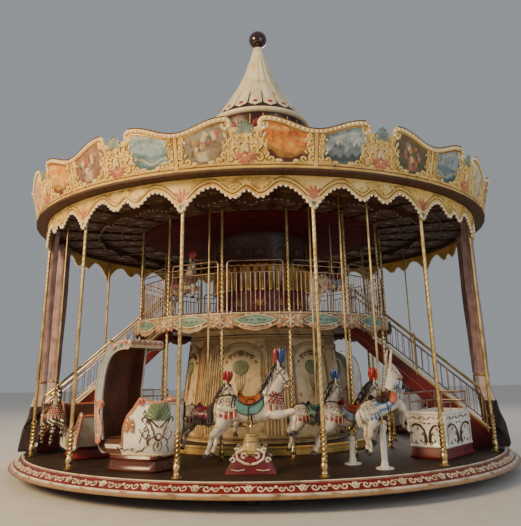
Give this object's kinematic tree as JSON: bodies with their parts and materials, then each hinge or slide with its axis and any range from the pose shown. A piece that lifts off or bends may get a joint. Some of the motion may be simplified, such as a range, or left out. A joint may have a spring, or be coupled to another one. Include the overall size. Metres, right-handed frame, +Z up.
{
  "type": "fairground carousel",
  "caption": "Double-deck carousel: turning floor and gallery, leaning painted crown boards, scalloped fringe, striped spire, brass poles, stairs, carriages and jumping horses.",
  "frame": {"origin": "on the ground below the centre mast", "axes": "+Z up along the axis of rotation, -Y towards the front bay, +X to the right of it"},
  "size_m": [10.9096, 10.9862, 11.025],
  "materials": {
    "steel": "satin dark grey paint on steel",
    "deck_boards": "worn varnished boards",
    "red_paint": "semi-gloss dark red",
    "cream_paint": "satin cream",
    "brass_tube": "polished, twisted",
    "rail_tube": "satin",
    "brown_boards": "dark brown paint",
    "gold_paint": "satin gold and cream",
    "tilt_sheet": "coated sheet, matt",
    "maroon_paint": "gloss maroon",
    "ball_gloss": "gloss",
    "cream_gloss": "gloss cream",
    "figure_gloss": "gloss white",
    "curtain_cloth": "gathered thin cloth"
  },
  "bodies": {
    "base": {"ground_frame": "steel", "centre_mast": "steel"},
    "carousel": {"platform_deck": "deck_boards", "platform_skirt": "red_paint", "drum_plinth": "deck_boards", "lower_drum": "cream_paint", "upper_deck": "red_paint", "upper_fascia_front": "cream_paint", "upper_fascia_back": "cream_paint", "upper_drum": "cream_paint", "outer_poles": "brass_tube", "inner_poles_front": "brass_tube", "inner_poles_back": "brass_tube", "railing_front": "rail_tube", "railing_back": "rail_tube", "ceiling": "brown_boards", "inner_valance": "gold_paint", "outer_valance": "gold_paint", "crown_boards": "gold_paint", "roof_cone": "tilt_sheet", "spire_base": "maroon_paint", "spire_cone": "maroon_paint", "spire_ball": "ball_gloss", "stair_left": "red_paint", "stair_right": "red_paint", "hooded_carriage_front": "cream_gloss", "hooded_carriage_rear": "cream_gloss", "gondola_right": "cream_gloss", "gondola_left": "cream_gloss", "sleigh_left": "cream_gloss", "sleigh_right": "cream_gloss", "curtain_left_front": "curtain_cloth", "curtain_left_back": "curtain_cloth", "curtain_right_front": "curtain_cloth", "curtain_right_back": "curtain_cloth", "horse_front_stand": "red_paint", "horse_rear_stand": "red_paint", "horse_right_post": "cream_gloss", "donkey_right_post": "cream_gloss", "horse_far_right_post": "cream_gloss", "donkey_far_right_post": "cream_gloss"},
    "horse_front_body": {"horse_front": "figure_gloss"},
    "horse_rear_body": {"horse_rear": "figure_gloss"},
    "horse_right_body": {"horse_right": "figure_gloss"},
    "donkey_right_body": {"donkey_right": "figure_gloss"},
    "horse_far_right_body": {"horse_far_right": "figure_gloss"},
    "donkey_far_right_body": {"donkey_far_right": "figure_gloss"},
    "horse_inner_right_body": {"horse_inner_right": "figure_gloss"},
    "horse_inner_left_body": {"horse_inner_left": "figure_gloss"},
    "zebra_left_body": {"zebra_left": "figure_gloss"},
    "zebra_far_left_body": {"zebra_far_left": "figure_gloss"},
    "horse_gallery_left_body": {"horse_gallery_left": "figure_gloss"},
    "horse_gallery_right_body": {"horse_gallery_right": "figure_gloss"}
  },
  "joints": [
    {"name": "carousel_turn", "type": "hinge", "parent": "base", "child": "carousel", "pos_m": [0, 0, 0.31], "axis": [0, 0, 1], "continuous": true},
    {"name": "horse_front_jump", "type": "slide", "parent": "carousel", "child": "horse_front_body", "axis": [0, 0, 1], "range_m": [-0.09, 0.09]},
    {"name": "horse_rear_jump", "type": "slide", "parent": "carousel", "child": "horse_rear_body", "axis": [0, 0, 1], "range_m": [-0.09, 0.09]},
    {"name": "horse_right_jump", "type": "slide", "parent": "carousel", "child": "horse_right_body", "axis": [0, 0, 1], "range_m": [-0.09, 0.09]},
    {"name": "donkey_right_jump", "type": "slide", "parent": "carousel", "child": "donkey_right_body", "axis": [0, 0, 1], "range_m": [-0.09, 0.09]},
    {"name": "horse_far_right_jump", "type": "slide", "parent": "carousel", "child": "horse_far_right_body", "axis": [0, 0, 1], "range_m": [-0.09, 0.09]},
    {"name": "donkey_far_right_jump", "type": "slide", "parent": "carousel", "child": "donkey_far_right_body", "axis": [0, 0, 1], "range_m": [-0.09, 0.09]},
    {"name": "horse_inner_right_jump", "type": "slide", "parent": "carousel", "child": "horse_inner_right_body", "axis": [0, 0, 1], "range_m": [-0.09, 0.09]},
    {"name": "horse_inner_left_jump", "type": "slide", "parent": "carousel", "child": "horse_inner_left_body", "axis": [0, 0, 1], "range_m": [-0.09, 0.09]},
    {"name": "zebra_left_jump", "type": "slide", "parent": "carousel", "child": "zebra_left_body", "axis": [0, 0, 1], "range_m": [-0.09, 0.09]},
    {"name": "zebra_far_left_jump", "type": "slide", "parent": "carousel", "child": "zebra_far_left_body", "axis": [0, 0, 1], "range_m": [-0.09, 0.09]},
    {"name": "horse_gallery_left_jump", "type": "slide", "parent": "carousel", "child": "horse_gallery_left_body", "axis": [0, 0, 1], "range_m": [-0.09, 0.09]},
    {"name": "horse_gallery_right_jump", "type": "slide", "parent": "carousel", "child": "horse_gallery_right_body", "axis": [0, 0, 1], "range_m": [-0.09, 0.09]}
  ]
}
